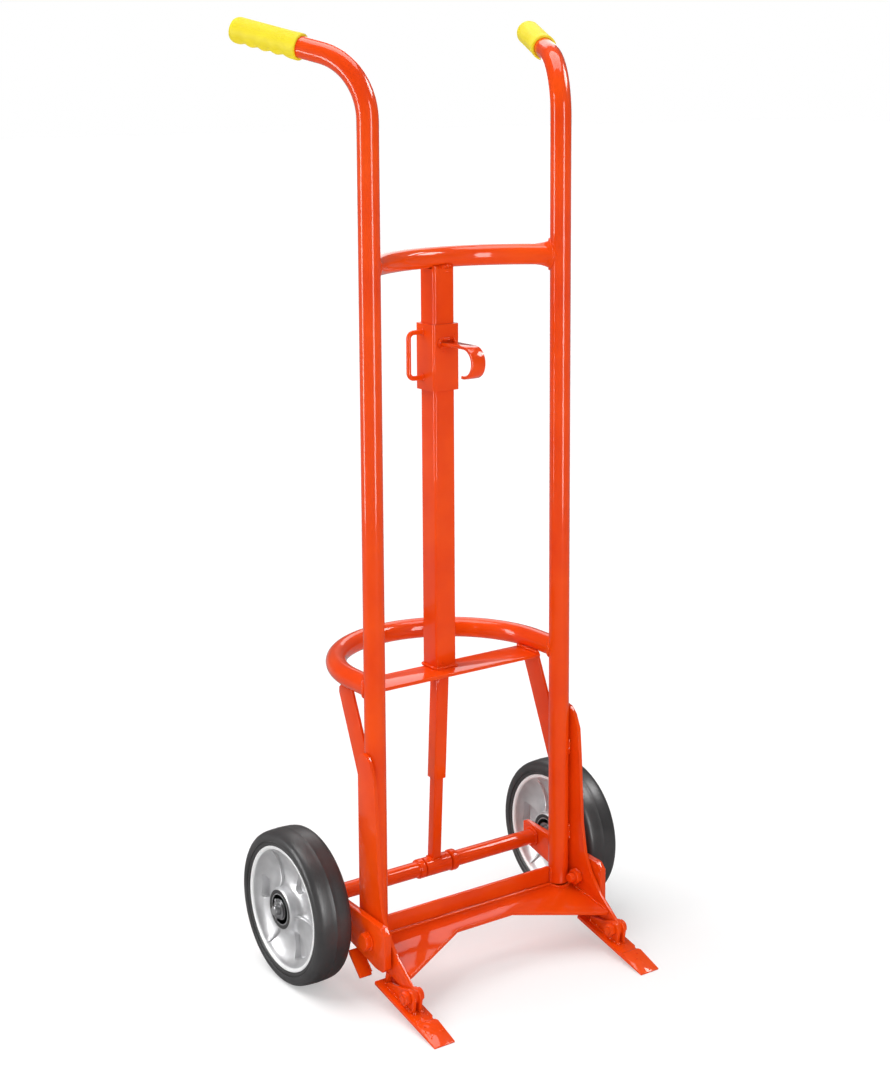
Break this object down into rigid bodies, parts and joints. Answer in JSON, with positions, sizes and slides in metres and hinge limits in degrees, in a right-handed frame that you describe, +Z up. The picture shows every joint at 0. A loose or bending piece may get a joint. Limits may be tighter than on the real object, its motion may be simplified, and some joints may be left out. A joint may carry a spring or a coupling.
{
  "type": "drum hand truck",
  "caption": "Upright drum hand truck: two bent side tubes, hoop, square mast with a sliding chime hook, pivoting toes and an axle carriage with solid rubber wheels.",
  "frame": {"origin": "on the floor at the middle of the outline", "axes": "+Z up, +X across between the wheels, the drum is carried on the -Y side and the handles reach to +Y"},
  "size_m": [0.634, 0.4828, 1.5542],
  "materials": {
    "orange_paint": "gloss",
    "yellow_vinyl": "satin",
    "black_rubber": "satin",
    "cast_aluminium": "satin",
    "bright_steel": "satin"
  },
  "bodies": {
    "frame": {"side_tube_left": "orange_paint", "side_tube_right": "orange_paint", "hand_grip_left": "yellow_vinyl", "hand_grip_right": "yellow_vinyl", "upper_cross_tube": "orange_paint", "hoop_tube": "orange_paint", "hoop_chord_bar": "orange_paint", "brace_strap_left": "orange_paint", "brace_strap_right": "orange_paint", "mast_tube": "orange_paint", "strut_tube": "orange_paint", "base_plate": "orange_paint", "lower_cross_bar": "orange_paint", "side_plate_left": "orange_paint", "bracket_stop_left": "orange_paint", "pivot_bolt_left": "orange_paint", "pivot_nut_left": "orange_paint", "pivot_spacer_left": "orange_paint", "side_plate_right": "orange_paint", "bracket_stop_right": "orange_paint", "pivot_bolt_right": "orange_paint", "pivot_nut_right": "orange_paint", "pivot_spacer_right": "orange_paint"},
    "hook": {"hook_sleeve": "orange_paint", "chime_hook": "orange_paint", "sleeve_handle": "orange_paint"},
    "axle_carriage": {"axle_shaft": "bright_steel", "axle_bracket_left": "orange_paint", "axle_tube_left": "orange_paint", "axle_collar_left": "orange_paint", "wheel_spacer_left": "bright_steel", "axle_washer_left": "bright_steel", "cotter_pin_left": "bright_steel", "axle_bracket_right": "orange_paint", "axle_tube_right": "orange_paint", "axle_collar_right": "orange_paint", "wheel_spacer_right": "bright_steel", "axle_washer_right": "bright_steel", "cotter_pin_right": "bright_steel"},
    "strut_rod": {"strut_rod": "orange_paint", "strut_tee": "orange_paint"},
    "wheel_left": {"tyre_left": "black_rubber", "wheel_hub_left": "cast_aluminium", "wheel_bearing_left": "bright_steel"},
    "toe_left": {"toe_plate_left": "orange_paint", "toe_lug_inner_left": "orange_paint", "toe_lug_outer_left": "orange_paint", "toe_bolt_left": "orange_paint", "toe_nut_left": "orange_paint", "toe_stop_left": "orange_paint"},
    "wheel_right": {"tyre_right": "black_rubber", "wheel_hub_right": "cast_aluminium", "wheel_bearing_right": "bright_steel"},
    "toe_right": {"toe_plate_right": "orange_paint", "toe_lug_inner_right": "orange_paint", "toe_lug_outer_right": "orange_paint", "toe_bolt_right": "orange_paint", "toe_nut_right": "orange_paint", "toe_stop_right": "orange_paint"}
  },
  "joints": [
    {"name": "hook_slide", "type": "slide", "parent": "frame", "child": "hook", "axis": [0, 0, 1], "range_m": [-0.43, 0.08]},
    {"name": "carriage_swing", "type": "hinge", "parent": "frame", "child": "axle_carriage", "pos_m": [0, -0.05578, 0.104], "axis": [1, 0, 0], "range_deg": [0, 6], "stiffness_Nm_per_rad": 200, "springref_deg": -11.46},
    {"name": "strut_rod_swing", "type": "hinge", "parent": "axle_carriage", "child": "strut_rod", "pos_m": [0, 0.08362, 0.127], "axis": [1, 0, 0], "range_deg": [-7, 0]},
    {"name": "wheel_spin_left", "type": "hinge", "parent": "axle_carriage", "child": "wheel_left", "pos_m": [-0.2736, 0.08362, 0.127], "axis": [1, 0, 0], "continuous": true},
    {"name": "toe_swing_left", "type": "hinge", "parent": "frame", "child": "toe_left", "pos_m": [-0.2065, -0.15378, 0.045], "axis": [1, 0, 0], "range_deg": [-20, 0]},
    {"name": "wheel_spin_right", "type": "hinge", "parent": "axle_carriage", "child": "wheel_right", "pos_m": [0.2736, 0.08362, 0.127], "axis": [1, 0, 0], "continuous": true},
    {"name": "toe_swing_right", "type": "hinge", "parent": "frame", "child": "toe_right", "pos_m": [0.2065, -0.15378, 0.045], "axis": [1, 0, 0], "range_deg": [-20, 0]}
  ],
  "couplings": [
    {"joint": "strut_rod_swing", "follows": "carriage_swing", "ratio": -1.1}
  ]
}
